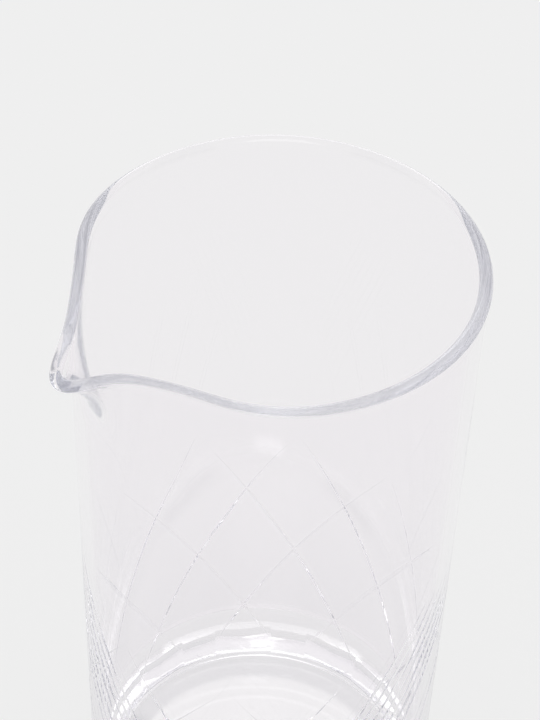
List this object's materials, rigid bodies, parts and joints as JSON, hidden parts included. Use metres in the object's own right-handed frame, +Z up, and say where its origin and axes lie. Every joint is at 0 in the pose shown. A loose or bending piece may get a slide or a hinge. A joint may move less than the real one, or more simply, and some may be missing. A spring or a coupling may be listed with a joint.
{
  "type": "jug",
  "caption": "Tall tapered clear-glass mixing jug with a rounded rim, a pulled pouring lip, a heavy base, and crossing mitre cuts with two sheaves of fine cuts on its lower half, for stirring and pouring drinks.",
  "frame": {"origin": "centre of the flat foot, on the vessel's axis", "axes": "+Z up along the vessel's axis, +X towards the pouring lip, +Y across it"},
  "size_m": [0.1045, 0.0952, 0.18],
  "materials": {
    "wall_glass": "polished clear glass, fire-polished rim, polished cuts",
    "base_glass": "polished clear glass, ground flat foot"
  },
  "bodies": {
    "root": {"glass_wall": "wall_glass", "glass_base": "base_glass"}
  },
  "joints": []
}
